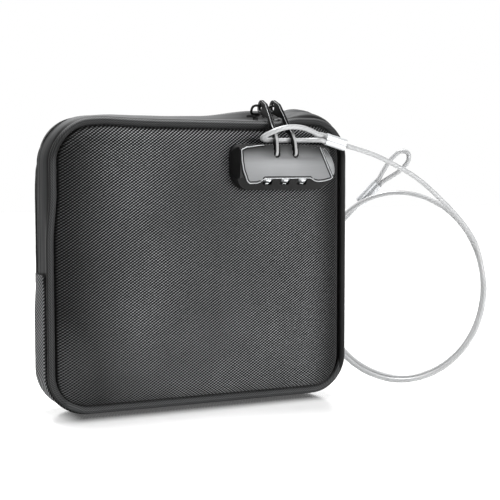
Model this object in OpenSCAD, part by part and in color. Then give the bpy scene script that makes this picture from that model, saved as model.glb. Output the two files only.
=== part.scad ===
// Locking travel pouch: a padded zip pouch with a combination lock and a coiled tether cable.
// The pouch is drawn in its front view (x to the right, y up, z towards the viewer) and then stood
// up, so that the front faces -Y. The tether's routes are given where they lie, with +Z up.
// The origin is the middle of the flat underside.

/* [Pouch] */
// Width over the piping
pouch_w = 200; // [180:1:230]
// Height over the piping
pouch_h = 178; // [170:1:200]
// Corner radius at the outer edge of the piping
corner_r = 25; // [22:1:30]
// Distance between the middles of the front and rear piping
gusset_w = 35; // [33:0.5:38]
// Diameter of the piping
piping_d = 4.5; // [4:0.1:5]
// Width of the sewn flange behind the piping
flange_w = 6; // [4:0.5:8]
// Thickness of the sewn flange
flange_t = 0.6; // [0.4:0.1:0.8]
// Gap between a panel's edge and the piping
panel_gap = 0.1; // [0.05:0.05:0.3]
// How far the padded front panel stands out at its middle, from the middle of the piping
front_crown = 6.5; // [6:0.25:8]
// How far the padded rear panel stands out at its middle, from the middle of the piping
rear_crown = 5; // [4:0.25:6]
// Width of the rounded edge of a padded panel
edge_roll = 16; // [12:1:17]
// Thickness of the lining
lining_t = 1.2; // [1:0.1:1.5]
// Height at which the zip ends and the rear panel folds
fold_h = 86; // [75:1:95]
// Half the width of the flat underside
base_half = 13; // [12:0.25:13.5]
// How far the lower gusset stands out past the piping
gusset_crown = 2.2; // [1.8:0.1:2.6]
// Thickness of the lower gusset
gusset_t = 2.8; // [2:0.1:2.9]

/* [Zip] */
// How far the zip tape bows out past the piping
tape_crown = 1.6; // [1.2:0.1:1.8]
// Thickness of the zip tape
tape_t = 1.2; // [1:0.1:1.4]
// Gap between the two zip halves
zip_gap = 0.3; // [0.2:0.05:0.4]
// Width of one half of the zip's coil
coil_w = 1.35; // [1.2:0.05:1.5]
// Height of the zip's coil under the tape
coil_h = 1.3; // [1:0.1:1.5]
// Length of a slider
slider_l = 10.4; // [9.8:0.1:10.4]
// Width of a slider
slider_w = 8.8; // [8:0.2:10]
// Thickness of a slider's top plate
slider_t = 1.4; // [1.2:0.1:1.8]
// Distance between the two sliders
slider_pitch = 11.8; // [11.8:0.1:12.2]
// Play of a slider along the zip
slider_play = 0.6; // [0.3:0.1:0.6]
// Diameter of the wire that a pull hangs on
bail_d = 1.6; // [1.4:0.1:1.8]

/* [Zip pulls] */
// Thickness of a pull
pull_t = 2; // [1.6:0.1:2.2]
// Radius of a pull's round head
pull_head_r = 4.6; // [4.4:0.1:5]
// Radius of the hole in the head
pull_hole_r = 2.7; // [2.5:0.1:2.9]
// Lean of the left pull towards the right one, in degrees
pull_lean = 5.7; // [5:0.1:6]
// Radius of the latch hole in a pull's tip
tip_hole_r = 1.1; // [1:0.05:1.3]

/* [Lock] */
// Length of the lock
lock_l = 68; // [66:0.5:70]
// Height of the lock
lock_h = 28.6; // [28:0.1:30]
// Distance from the middle of the lock to the pouch's right side
lock_inset = 52.2; // [50:0.1:54]
// Distance from the middle of the lock to the pouch's top
lock_drop = 29.9; // [29:0.1:31]
// How far the lock's base sinks into the padding
lock_sink = 1.4; // [1:0.1:2]
// Thickness of the lock from its back to the front of its face plate
lock_t = 14.2; // [13.5:0.1:15]
// Thickness of the face plate
plate_t = 1.3; // [1:0.1:1.6]
// Radius of the face plate's bow, top to bottom
plate_bow_r = 62; // [50:1:90]
// Radius of a number dial
dial_r = 5.5; // [5.2:0.1:5.7]
// Width of a number dial
dial_w = 5.8; // [5:0.1:6]
// How much lower a dial's rim is at its sides
rim_drop = 1.3; // [0.8:0.1:1.6]
// Distance between the dials
dial_pitch = 12.2; // [12:0.1:12.6]
// Radius of the dials' shaft
shaft_r = 1.5; // [1.2:0.1:1.7]
// Running clearance around the shaft
shaft_clear = 0.05; // [0.02:0.01:0.08]
// Width of the two notches in the top edge
notch_w = 4.4; // [4:0.1:4.8]
// Distance between the two notches
notch_pitch = 12.9; // [12.5:0.1:13.4]
// Travel of the latch from released to locked
latch_travel = 4.5; // [4.4:0.1:4.6]
// Radius of a latch finger
finger_r = 0.8; // [0.6:0.05:0.9]

/* [Tether] */
// Diameter of the coated cable
cable_d = 3.2; // [3:0.1:3.6]
// Diameter of each of a ferrule's two barrels
barrel_d = 4.3; // [4.2:0.1:4.4]
// Half the distance between the two strands in a ferrule
strand_off = 1.7; // [1.7:0.05:1.8]
// Half the width of the standing coil
coil_rx = 59.5; // [58:0.5:61]
// Half the height of the standing coil
coil_rz = 66; // [65:0.5:66]
// Distance between two passes of the coil
coil_step = 4.8; // [4.4:0.1:5.2]

/* [Hidden] */
$fn = 64;

cloth = [0.19, 0.19, 0.2];
tape_grey = [0.3, 0.3, 0.31];
black = [0.04, 0.04, 0.045];
satin = [0.42, 0.43, 0.44];
steel = [0.72, 0.73, 0.74];
cable_grey = [0.82, 0.83, 0.83];

// Outline of the pouch: the outer edge of the piping
half_w = pouch_w / 2;
low = gusset_crown;
top = low + pouch_h;
corner_x = half_w - corner_r;
corner_low = low + corner_r;
corner_top = top - corner_r;
piping_z = gusset_w / 2;
seam_z = piping_z - piping_d / 2;
panel_in = piping_d + panel_gap;
flange_z = seam_z + 0.75;
panel_z = flange_z + flange_t;
lining_z = flange_z - lining_t;
gusset_edge = 0.6 - piping_d / 2;
fold_gap = 0.3;

// Zip, measured outwards from the piping's outer edge
tape_edge = 0.65 - piping_d / 2;
coil_seat = 0.06;
coil_top = tape_crown - tape_t - coil_seat;
coil_low = coil_top - coil_h;

// Zip sliders and pulls
slider_rise = 1.3;
plate_y = top + tape_crown + slider_rise;
under_t = 1.1;
under_y = top + coil_low - 0.3;
rib_w = 1;
rib_drop = 0.9;
neck_l = 3;
neck_w = 1.6;
slot_depth = 6;
slot_clear = 0.5;
bail_w = 9.6;
bail_h = 8;
bail_bend = 2.4;
bail_tilt = 33;
bar_y = plate_y + slider_t + 5.9;
bar_z = 4.5;
head_drop = 0.9;
head_out = 0.6;

// Lock, measured from its own middle and from the pouch's mid-plane
lock_x = half_w - lock_inset;
lock_y = top - lock_drop;
lock_end = lock_l / 2;
lock_low = -lock_h / 2;
foot_r = 12;
shoulder_r = 6;
seat_clear = 0.05;
front_z = piping_z + front_crown;
lock_back = front_z - lock_sink;
lock_front = lock_back + lock_t;
bow_y = 1.5;
bow_z = lock_front - plate_bow_r;
base_face_r = plate_bow_r - plate_t;
slope_y = -6.6;
slope_step = 3.2;
dial_y = -5;
dial_z = lock_front - 7.3;
dial_mid = 0.45;
dial_side = 0.3;
dial_round = 0.4;
rim_flat = 2;
hub_r = 3.4;
sleeve_r = 2.2;
hub_from = 5;
hub_to = 6.6;
gate_w = 2.6;
hub_space = 9.2;
shaft_from = 7.6;
shaft_to = 11.6;
shaft_seat = 0.02;
leaf_t = 0.3;
leaf_w = 1.6;
leaf_y = dial_y + dial_r + 0.15;
tongue_w = 2.8;
tongue_over = 0.6;
notch_mid = -0.85;
notch_low = 5.8;
notch_z = lock_front - 6.2;
tip_y = 9.7;
tip_z = lock_front - 3.4;
pull_at = [for (side = [-1, 1]) lock_x + notch_mid + side * notch_pitch / 2];
slider_mid = 0.9;
slider_at = [for (side = [-1, 1]) lock_x + slider_mid + side * slider_pitch / 2];
button_z = lock_front - 6.6;
button_gap = 1.3;
button_seat = 0.2;
screw_at = [7 - lock_end, lock_end - 7];
screw_r = 1.5;
screw_l = 2;
screw_head_r = 2.7;
screw_head_t = 0.85;
backing_l = lock_l - 6;
backing_h = lock_h - 8.6;
backing_t = 1.5;
backing_r = 3;
hole_clear = 0.1;
bar_low = 1.6;
bar_high = 4.4;
bar_back = dial_z - 1.1;
bar_front = lock_front - 2.6;
bar_from = -17.4;
bar_to = lock_end - 7;
bar_clear = 0.2;
fence_l = 1;
fence_w = 2;
arm_l = 1.5;
arm_w = 2;
finger_l = 5.9;
finger_clear = 0.15;

// Coil of the tether: its middle, and its plane, turned towards the left
coil_mid = [153, -1, 68.2];
coil_turn = 42;
coil_right = [cos(coil_turn), -sin(coil_turn), 0];
coil_front = [-sin(coil_turn), -cos(coil_turn), 0];
coil_sweep = 590;
coil_shrink = 1.5;
coil_rings = 24;
far_length = 18;

// Outlines and sweeps along the pouch's edge

module upright() {
    rotate([90, 0, 0]) children();
}

module rounded_outline(inset) {
    r = corner_r - inset;
    intersection() {
        translate([-half_w + inset, low + inset])
            square([pouch_w - 2 * inset, pouch_h - 2 * inset]);
        union() {
            translate([-half_w + inset, corner_low])
                square([pouch_w - 2 * inset, corner_top - corner_low]);
            translate([-corner_x, low + inset])
                square([2 * corner_x, pouch_h - 2 * inset]);
            for (x = [-corner_x, corner_x], y = [corner_low, corner_top])
                translate([x, y]) circle(r = r);
        }
    }
}

// A profile is drawn as (outwards from the piping's outer edge, towards the front)
module side_run(y0, y1) {
    for (s = [0, 1])
        mirror([s, 0, 0]) translate([half_w, y1, 0]) rotate([90, 0, 0])
            linear_extrude(y1 - y0) children();
}

module top_run() {
    translate([-corner_x, top, 0]) rotate([0, 0, 90]) rotate([90, 0, 0])
        linear_extrude(2 * corner_x) children();
}

module corner_pair(y, upper) {
    for (s = [0, 1])
        mirror([s, 0, 0]) translate([corner_x, y, 0]) rotate([0, 0, upper ? 0 : -90])
            rotate_extrude(angle = 90) translate([corner_r, 0]) children();
}

module bottom_run() {
    translate([corner_x, low, 0]) rotate([0, 0, -90]) rotate([90, 0, 0])
        linear_extrude(2 * corner_x) children();
}

module upper_arch(y0) {
    side_run(y0, corner_top) children();
    corner_pair(corner_top, true) children();
    top_run() children();
}

module lower_arch(y1) {
    side_run(corner_low, y1) children();
    corner_pair(corner_low, false) children();
    bottom_run() children();
}

module above_fold() {
    intersection() {
        children();
        translate([-pouch_w, fold_h + fold_gap, -pouch_w]) cube(2 * pouch_w);
    }
}

module below_fold() {
    intersection() {
        children();
        translate([-pouch_w, fold_h - 2 * pouch_w, -pouch_w]) cube(2 * pouch_w);
    }
}

// Soft shell

module piping_profile() {
    translate([-piping_d / 2, piping_z]) circle(d = piping_d, $fn = 32);
    translate([-piping_d / 2 - flange_w, flange_z]) square([flange_w, flange_t]);
}

module panel_profile(crown) {
    translate([-panel_in, 0])
        polygon([
            [0, panel_z], [0, piping_z], [-0.8, piping_z + crown * 0.35],
            [-2.5, piping_z + crown * 0.6], [-6, piping_z + crown * 0.83],
            [-11, piping_z + crown * 0.96], [-edge_roll, piping_z + crown],
            [-edge_roll - 1, piping_z + crown], [-edge_roll - 1, panel_z],
        ]);
}

module padded_panel(crown) {
    upper_arch(fold_h) panel_profile(crown);
    lower_arch(fold_h) panel_profile(crown);
    translate([0, 0, panel_z]) linear_extrude(piping_z + crown - panel_z)
        rounded_outline(panel_in + edge_roll);
}

module lining_sheet() {
    translate([0, 0, lining_z]) linear_extrude(lining_t) rounded_outline(panel_in);
}

module piping_ring() {
    upper_arch(fold_h) piping_profile();
    lower_arch(fold_h) piping_profile();
}

module front_panel() {
    color(cloth) upright() difference() {
        padded_panel(front_crown);
        translate([0, 0, lock_back]) linear_extrude(lock_t) lock_outline(seat_clear);
        linear_extrude(panel_z + backing_t) backing_outline(hole_clear);
        for (u = screw_at)
            translate([lock_x + u, lock_y, 0])
                cylinder(r = screw_r + hole_clear, h = lock_front);
    }
}

module front_lining() {
    color(tape_grey) upright() lining_sheet();
}

module front_piping() {
    color(cloth) upright() piping_ring();
}

module rear_side() {
    upright() mirror([0, 0, 1]) children();
}

module rear_panel_lower() {
    color(cloth) rear_side() below_fold() padded_panel(rear_crown);
}

module rear_panel_upper() {
    color(cloth) rear_side() above_fold() padded_panel(rear_crown);
}

module rear_lining_lower() {
    color(tape_grey) rear_side() below_fold() lining_sheet();
}

module rear_lining_upper() {
    color(tape_grey) rear_side() above_fold() lining_sheet();
}

module rear_piping_lower() {
    color(cloth) rear_side() lower_arch(fold_h) piping_profile();
}

module rear_piping_upper() {
    color(cloth) rear_side() upper_arch(fold_h + fold_gap) piping_profile();
}

module gusset_profile() {
    outer = [for (t = [0, 0.3, 0.62, 1])
        [gusset_edge + (gusset_crown - gusset_edge) * (1 - pow(1 - t, 2.4)),
         seam_z + (base_half - seam_z) * t]];
    polygon(concat(
        outer,
        [for (i = [3:-1:0]) [outer[i][0], -outer[i][1]]],
        [for (i = [0:3]) [outer[i][0] - gusset_t, -outer[i][1]]],
        [for (i = [3:-1:0]) [outer[i][0] - gusset_t, outer[i][1]]]
    ));
}

module lower_gusset() {
    color(cloth) upright() lower_arch(fold_h) gusset_profile();
}

// Zip

module tape_profile() {
    outer = [for (t = [0, 0.12, 0.28, 0.5, 0.76, 1])
        [tape_crown - (tape_crown - tape_edge) * pow(1 - t, 2.4),
         seam_z + (zip_gap / 2 - seam_z) * t]];
    polygon(concat(outer, [for (i = [5:-1:0]) [outer[i][0] - tape_t, outer[i][1]]]));
}

module coil_profile() {
    translate([coil_low, zip_gap / 2]) square([coil_h, coil_w]);
}

// Openings that the sliders' necks run in
module neck_slots() {
    l = neck_l + 2 * (slider_play + slot_clear);
    w = neck_w + slot_clear;
    for (x = slider_at)
        translate([x - l / 2, top - slot_depth, -w / 2]) cube([l, 2 * slot_depth, w]);
}

module front_zip_tape() {
    color(tape_grey) upright() difference() {
        upper_arch(fold_h) tape_profile();
        neck_slots();
    }
}

module rear_zip_tape() {
    color(tape_grey) rear_side() difference() {
        upper_arch(fold_h + fold_gap) tape_profile();
        neck_slots();
    }
}

module front_zip_coil() {
    color(black) upright() difference() {
        upper_arch(fold_h) coil_profile();
        neck_slots();
    }
}

module rear_zip_coil() {
    color(black) rear_side() difference() {
        upper_arch(fold_h + fold_gap) coil_profile();
        neck_slots();
    }
}

module bar_outline(l, w, r) {
    square([l - 2 * r, w], center = true);
    square([l, w - 2 * r], center = true);
    for (x = [-1, 1], y = [-1, 1])
        translate([x * (l / 2 - r), y * (w / 2 - r)]) circle(r = r, $fn = 32);
}

// The wire ring that a pull hangs on, leaning forwards, with its bar at (bar_y, bar_z)
module bail() {
    l = bail_w / 2 - bail_d / 2 - bail_bend;
    h = bail_h - bail_d - 2 * bail_bend;
    translate([0, bar_y, bar_z]) rotate([bail_tilt, 0, 0])
        for (s = [0, 1]) mirror([s, 0, 0]) {
            for (y = [0, -h - 2 * bail_bend])
                translate([0, y, 0]) rotate([0, 90, 0]) cylinder(d = bail_d, h = l, $fn = 32);
            translate([l + bail_bend, -bail_bend, 0]) rotate([90, 0, 0])
                cylinder(d = bail_d, h = h, $fn = 32);
            for (t = [0, 1])
                translate([l, -bail_bend - t * h, 0]) rotate([0, 0, -90 * t])
                    rotate_extrude(angle = 90) translate([bail_bend, 0])
                        circle(d = bail_d, $fn = 32);
        }
}

module slider(x) {
    rib_l = slider_l - 5.2;
    color(black) upright() translate([x, 0, 0]) {
        translate([0, plate_y, 0]) rotate([-90, 0, 0]) linear_extrude(slider_t)
            bar_outline(slider_l, slider_w, 2.6);
        bail();
        translate([-rib_l / 2, plate_y - rib_drop, slider_w / 2 - rib_w])
            cube([rib_l, rib_drop + slider_t / 2, rib_w]);
        translate([-neck_l / 2, under_y - under_t / 2, -neck_w / 2])
            cube([neck_l, plate_y - under_y + under_t, neck_w]);
        translate([0, under_y, 0]) rotate([90, 0, 0]) linear_extrude(under_t)
            bar_outline(slider_l, slider_w - 1.6, 2.4);
    }
}

module slider_left() {
    slider(slider_at[0]);
}

module slider_right() {
    slider(slider_at[1]);
}

// A pull seen from its side: (towards the front, up). Its head hangs on the bail, its arm runs
// over the front edge and its tip stands in a notch of the lock.
module pull_outline() {
    head = [bar_z + head_out, bar_y - head_drop];
    tip_front = lock_front + 0.7;
    tip_back = notch_z + 0.8;
    tip_low = lock_y + notch_low + 1;
    tip_r = 2.2;
    difference() {
        polygon(concat(
            [for (a = [-80:-20:-300]) head + pull_head_r * [cos(a), sin(a)]],
            [
                head + [8.4, 1.6], [piping_z + 4.4, top + 2.6], [piping_z + 9, top - 2.6],
                [piping_z + 14.6, top - 7.6], [tip_front - 1.4, top - 13.4],
                [tip_front, top - 19],
            ],
            [for (a = [0:-15:-90])
                [tip_front - tip_r + tip_r * cos(a), tip_low + tip_r + tip_r * sin(a)]],
            [for (a = [-90:-15:-180])
                [tip_back + tip_r + tip_r * cos(a), tip_low + tip_r + tip_r * sin(a)]],
            [
                [tip_back, lock_y + lock_h / 2 + 4.5], [piping_z + 7.2, top - 8],
                [piping_z + 3.9, top - 3], [piping_z + 1.8, top + 0.9],
                [piping_z - 5, top + 2.6],
            ]
        ));
        translate(head) circle(r = pull_hole_r);
        translate([tip_z, lock_y + tip_y]) circle(r = tip_hole_r, $fn = 32);
    }
}

// A pull whose tip hole is at x, and whose head leans to the right
module pull(x, lean) {
    head = [0, bar_y - head_drop, bar_z + head_out];
    tip = [0, lock_y + tip_y, tip_z];
    arm = head - tip;
    color(black) upright() translate(tip + [x, 0, 0])
        rotate(a = lean, v = [0, arm[2], -arm[1]])
            translate([pull_t / 2, 0, 0] - tip) rotate([0, -90, 0])
                linear_extrude(pull_t) pull_outline();
}

module pull_left() {
    pull(pull_at[0], pull_lean);
}

module pull_right() {
    pull(pull_at[1], 0);
}

// Lock

module lock_outline(grow) {
    l = lock_end + grow;
    h = grow - lock_low;
    translate([lock_x, lock_y]) {
        translate([-l, foot_r - h]) square([2 * l, 2 * h - foot_r - shoulder_r]);
        translate([foot_r - l, -h]) square([2 * l - 2 * foot_r, 2 * h]);
        translate([shoulder_r - l, 0]) square([2 * l - 2 * shoulder_r, h]);
        for (s = [-1, 1]) {
            translate([s * (l - foot_r), foot_r - h]) circle(r = foot_r);
            translate([s * (l - shoulder_r), h - shoulder_r]) circle(r = shoulder_r);
        }
    }
}

// Right end of the face plate, where the button begins
function end_curve(y) = lock_end - 7.3 - 0.45 * (y - 4.6) + 0.0045 * pow(y - 4.6, 2);

// The plate's lower edge rises over the dials
module face_outline() {
    over_dials = [dial_at(-1) - 3.95, dial_at(1) + 3.75];
    translate([lock_x, lock_y]) polygon(concat(
        [[2.4 - lock_end, 10.6], [2.5 - lock_end, 4], [3.6 - lock_end, -2],
         [6.4 - lock_end, lock_low + 5.7], [8.2 - lock_end, lock_low + 4.2],
         [over_dials[0] - 5.1, lock_low + 4.4], [over_dials[0] - 3.1, lock_low + 5.1],
         [over_dials[0], dial_y - 2], [over_dials[1], dial_y - 1.8],
         [over_dials[1] + 3.2, lock_low + 5.7], [over_dials[1] + 5.7, lock_low + 5.3],
         [lock_end - 8, lock_low + 5.7], [lock_end - 3.6, lock_low + 6.7]],
        [for (y = [-6.4:2:13.6]) [end_curve(y), y]],
        [for (x = [20:-8:-28]) [x, -lock_low - 0.1 - 0.0032 * pow(x + 3, 2)]]
    ));
}

module button_outline() {
    translate([lock_x, lock_y]) polygon(concat(
        [for (y = [-5:2:11]) [end_curve(y) + button_gap, y]],
        [for (y = [12:-2:-4]) [lock_end - 0.4 - 0.034 * pow(y + 2, 2), y]]
    ));
}

// Everything behind a cylinder bowed from top to bottom, whose line runs along the lock
module bowed_space(r) {
    translate([lock_x - lock_l, lock_y + bow_y, bow_z]) rotate([0, 90, 0])
        cylinder(r = r, h = 2 * lock_l, $fn = 180);
}

module notches() {
    for (x = pull_at) translate([x, lock_y, notch_z]) linear_extrude(lock_t) {
        translate([0, notch_low + notch_w / 2]) circle(d = notch_w, $fn = 32);
        translate([-notch_w / 2, notch_low + notch_w / 2]) square([notch_w, lock_h]);
    }
}

module along_lock(u0, u1, y, z) {
    translate([lock_x + u0, lock_y + y, z]) rotate([0, 90, 0]) rotate([0, 0, 90])
        linear_extrude(u1 - u0) children();
}

function dial_at(k) = dial_mid + k * dial_pitch;

module dial_cavity() {
    side = dial_w / 2 + dial_side;
    round = dial_r + dial_round;
    along_lock(dial_at(-1) - side, dial_at(1) + hub_space, dial_y, dial_z)
        circle(r = hub_r + dial_side);
    for (k = [-1, 0, 1])
        translate([lock_x + dial_at(k) - side, lock_y + dial_y - round, dial_z - round])
            cube([2 * side, 2 * round, lock_t]);
    along_lock(dial_at(-1) - shaft_from, dial_at(1) + shaft_to, dial_y, dial_z)
        circle(r = shaft_r + shaft_seat);
}

module latch_cavity() {
    translate([lock_x + bar_from - bar_clear, lock_y + dial_y + sleeve_r, bar_back - bar_clear])
        cube([lock_l, bar_high + bar_clear - dial_y - sleeve_r,
              bar_front - bar_back + 2 * bar_clear]);
    for (x = pull_at) {
        start = x - notch_w / 2 - finger_l - arm_l;
        translate([start - bar_clear, lock_y + bar_high - 1, tip_z - arm_w / 2 - bar_clear])
            cube([latch_travel + arm_l + 2 * bar_clear, tip_y + 2.2 - bar_high,
                  arm_w + 2 * bar_clear]);
        translate([start, lock_y + tip_y, tip_z]) rotate([0, 90, 0])
            cylinder(r = finger_r + finger_clear, h = finger_l + arm_l + notch_w + 1.2, $fn = 32);
    }
}

// Thin leaf with one tongue above each dial
module spring_leaf(grow) {
    translate([lock_x, lock_y + leaf_y - grow, dial_z - dial_r - grow]) {
        translate([dial_at(-1) - dial_w / 2 - grow, 0, 0])
            cube([2 * dial_pitch + dial_w + 2 * grow, leaf_t + 2 * grow, leaf_w + 2 * grow]);
        for (k = [-1, 0, 1])
            translate([dial_at(k) - tongue_w / 2 - grow, 0, 0])
                cube([tongue_w + 2 * grow, leaf_t + 2 * grow, dial_r + tongue_over + 2 * grow]);
    }
}

module lock_base() {
    color(black) upright() difference() {
        intersection() {
            translate([0, 0, lock_back]) linear_extrude(lock_t) lock_outline(0);
            bowed_space(base_face_r);
            // Top and lower edge: drawn in towards the front, with a slope for the fingertip
            along_lock(-lock_l, lock_l, 0, 0) polygon([
                [2 * lock_low, lock_back - 1], [lock_h, lock_back - 1],
                [1.2 - lock_low, lock_back], [-lock_low - 0.4, lock_front],
                [slope_y, lock_front], [slope_y, lock_front - slope_step],
                [lock_low, lock_back + 6], [lock_low - 1, lock_back],
            ]);
            // Ends drawn in towards the front
            translate([lock_x, lock_y + lock_h, 0]) rotate([90, 0, 0]) linear_extrude(2 * lock_h)
                polygon([
                    [-lock_end, lock_back - 1], [lock_end, lock_back - 1],
                    [lock_end, lock_back + 5], [lock_end - 1.4, lock_front],
                    [2.2 - lock_end, lock_front], [-lock_end, lock_back + 3],
                ]);
        }
        // Seat of the button
        translate([lock_x, lock_y, button_z - button_seat]) linear_extrude(lock_t)
            polygon(concat(
                [for (y = [-6:2:20]) [end_curve(y), y]], [[lock_l, 20], [lock_l, -6]]
            ));
        notches();
        dial_cavity();
        latch_cavity();
        spring_leaf(seat_clear);
        for (u = screw_at)
            translate([lock_x + u, lock_y, 0]) cylinder(r = screw_r, h = lock_back + screw_l);
    }
}

module lock_plate() {
    color(satin) upright() difference() {
        intersection() {
            translate([0, 0, lock_back]) linear_extrude(2 * lock_t) face_outline();
            difference() {
                bowed_space(plate_bow_r);
                bowed_space(base_face_r);
            }
        }
        notches();
    }
}

// A rim that is lower at its sides, with ten finger grooves
module dial_rim(k) {
    grip_r = 0.5;
    difference() {
        translate([lock_x + dial_at(k), lock_y + dial_y, dial_z]) rotate([0, 90, 0])
            rotate_extrude() polygon([
                [0, -dial_w / 2], [dial_r - rim_drop, -dial_w / 2], [dial_r, -rim_flat / 2],
                [dial_r, rim_flat / 2], [dial_r - rim_drop, dial_w / 2], [0, dial_w / 2],
            ]);
        for (a = [18:36:359])
            along_lock(dial_at(k) - dial_w, dial_at(k) + dial_w, dial_y, dial_z)
                rotate(a) translate([dial_r + 0.15, 0]) circle(r = grip_r, $fn = 12);
    }
}

// A wheel with a hub whose gate lets the latch's fence through
module dial(k) {
    color(steel) upright() difference() {
        union() {
            dial_rim(k);
            along_lock(dial_at(k), dial_at(k) + hub_to, dial_y, dial_z) circle(r = sleeve_r);
            along_lock(dial_at(k) + hub_from, dial_at(k) + hub_to, dial_y, dial_z)
                difference() {
                    circle(r = hub_r);
                    translate([sleeve_r + seat_clear, -gate_w / 2]) square([hub_r, gate_w]);
                }
        }
        along_lock(dial_at(k) - dial_w, dial_at(k) + dial_w * 2, dial_y, dial_z)
            circle(r = shaft_r + shaft_clear);
    }
}

module dial_left() {
    dial(-1);
}

module dial_middle() {
    dial(0);
}

module dial_right() {
    dial(1);
}

module dial_shaft() {
    color(steel) upright()
        along_lock(dial_at(-1) - shaft_from, dial_at(1) + shaft_to, dial_y, dial_z)
            circle(r = shaft_r);
}

module detent_spring() {
    color(steel) upright() spring_leaf(0);
}

// Bar with a fence for each dial and a finger for each pull, drawn back to the left
module latch_bar() {
    fence_y = dial_y + sleeve_r + dial_side;
    color(steel) upright() {
        translate([lock_x + bar_from, lock_y + bar_low, bar_back])
            cube([bar_to - bar_from, bar_high - bar_low, bar_front - bar_back]);
        for (k = [-1, 0, 1])
            translate([lock_x + dial_at(k) + dial_w / 2 + dial_side, lock_y + fence_y,
                       dial_z - fence_w / 2])
                cube([fence_l, (bar_low + bar_high) / 2 - fence_y, fence_w]);
        for (x = pull_at) {
            start = x - notch_w / 2 - finger_l - arm_l;
            translate([start, lock_y + bar_high - 1, tip_z - arm_w / 2])
                cube([arm_l, tip_y + 2 - bar_high, arm_w]);
            translate([start, lock_y + tip_y, tip_z]) rotate([0, 90, 0])
                cylinder(r = finger_r, h = finger_l + arm_l - 0.1, $fn = 32);
        }
    }
}

module release_button() {
    color(satin) upright() difference() {
        intersection() {
            translate([0, 0, button_z]) linear_extrude(lock_t) button_outline();
            bowed_space(plate_bow_r - 0.3);
        }
        translate([lock_x, lock_y + bar_low, bar_back])
            cube([bar_to, bar_high - bar_low, bar_front - bar_back]);
    }
}

// What holds the lock to the panel

module backing_outline(grow) {
    translate([lock_x, lock_y]) bar_outline(backing_l + 2 * grow, backing_h + 2 * grow, backing_r);
}

module backing_plate() {
    color(steel) upright() difference() {
        translate([0, 0, panel_z]) linear_extrude(backing_t) backing_outline(0);
        for (u = screw_at)
            translate([lock_x + u, lock_y, 0]) {
                cylinder(r = screw_r, h = lock_back);
                cylinder(r = screw_head_r + hole_clear, h = panel_z + screw_head_t + seat_clear);
            }
    }
}

module lock_screws() {
    color(steel) upright() for (u = screw_at)
        translate([lock_x + u, lock_y, panel_z + seat_clear]) {
            cylinder(r = screw_r, h = lock_back + screw_l - panel_z - seat_clear);
            cylinder(r = screw_head_r, h = screw_head_t);
        }
}

// Tether

function unit(v) = v / norm(v);

// Smooth curve from p[first] to p[last], with n steps between two points
function curve_point(a, b, c, d, t) =
    0.5 * ((2 * b) + (c - a) * t + (2 * a - 5 * b + 4 * c - d) * t * t
           + (3 * b - a - 3 * c + d) * t * t * t);
function smooth(p, n, first, last) = concat(
    [for (i = [first:last - 1], j = [0:n - 1])
        curve_point(p[i - 1], p[i], p[i + 1], p[i + 2], j / n)],
    [p[last]]
);

// The same with straight first and last stretches
function cord(p, n) = concat([p[0]], smooth(p, n, 1, len(p) - 2), [p[len(p) - 1]]);

function heading(p, i) = unit(p[min(i + 1, len(p) - 1)] - p[max(i - 1, 0)]);

// One closed tube along the points p. side is a direction that the route never runs along.
module tube(p, d, side, sides = 8) {
    n = len(p);
    rings = [for (i = [0:n - 1])
        let (t = heading(p, i), u = unit(cross(t, side)), v = cross(t, u))
            for (k = [0:sides - 1])
                p[i] + d / 2 * (cos(k * 360 / sides) * u + sin(k * 360 / sides) * v)];
    walls = [for (i = [0:n - 2], k = [0:sides - 1])
        let (a = i * sides + k, b = i * sides + (k + 1) % sides)
            each [[a, b + sides, b], [a, a + sides, b + sides]]];
    caps = [for (k = [1:sides - 2])
        each [[0, k, k + 1], [(n - 1) * sides, (n - 1) * sides + k + 1, (n - 1) * sides + k]]];
    polyhedron(rings, concat(walls, caps));
}

// Least distance between points of the route that are more than skip steps apart
function self_gap(p, skip, d) = min([
    for (i = [0:len(p) - 1 - skip], j = [i + skip:len(p) - 1]) norm(p[i] - p[j])
]) - d;

near_left = [76.3, -34, 168.4];
near_right = [90.6, -33.6, 164.6];
near_run = unit(near_right - near_left);
near_up = unit(cross(near_run, cross([0, 0, 1], near_run)));
near_ends = [near_left + strand_off * near_up, near_left - strand_off * near_up];
near_points = concat(
    [near_ends[0], near_ends[0] - cable_d * near_run],
    [[68.6, -36.8, 172.4], [62, -40.2, 174.2], [54.5, -42, 175.4], [46, -42.2, 175.2],
     [38.6, -41.2, 173.2], [33.4, -38, 170.6], [31.6, -34.2, 168.6], [34, -30.6, 167.5],
     [40, -29, 167.2], [48, -28.8, 167.2], [56.5, -28.9, 167.3], [64.5, -30.2, 167.4]],
    [near_ends[1] - cable_d * near_run, near_ends[1]]
);
near_route = cord(near_points, 3);

// Points of the coil: a is counted in degrees from its right side, downwards first
function coil_point(a) =
    coil_mid + (coil_rx - coil_shrink * a / 360) * cos(a) * coil_right
    - (coil_rz - coil_shrink * max(0, a - 90) / 360) * sin(a) * [0, 0, 1]
    + coil_step * (1 - a / 360) * coil_front;

far_run = unit(coil_point(coil_sweep) - coil_point(coil_sweep - 8));
far_start = coil_point(coil_sweep) + 12.5 * far_run;
far_end = far_start + far_length * far_run;
far_side = unit(cross(far_run, coil_front));

lead = concat(
    [near_right, near_right + cable_d * near_run],
    [[112, -33.4, 158.8], [127, -33.6, 152.8], [145, -35, 143.4], [162, -37, 129.8],
     [178, -39.6, 114], [189.6, -41.6, 96]],
    [coil_point(0), coil_point(360 / coil_rings)]
);
cable_route = concat(
    [lead[0]],
    smooth(lead, 3, 1, len(lead) - 2),
    [for (i = [1:ceil(coil_sweep * coil_rings / 360)])
        coil_point(min(coil_sweep, i * 360 / coil_rings))],
    [far_start - cable_d * far_run, far_start]
);

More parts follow.
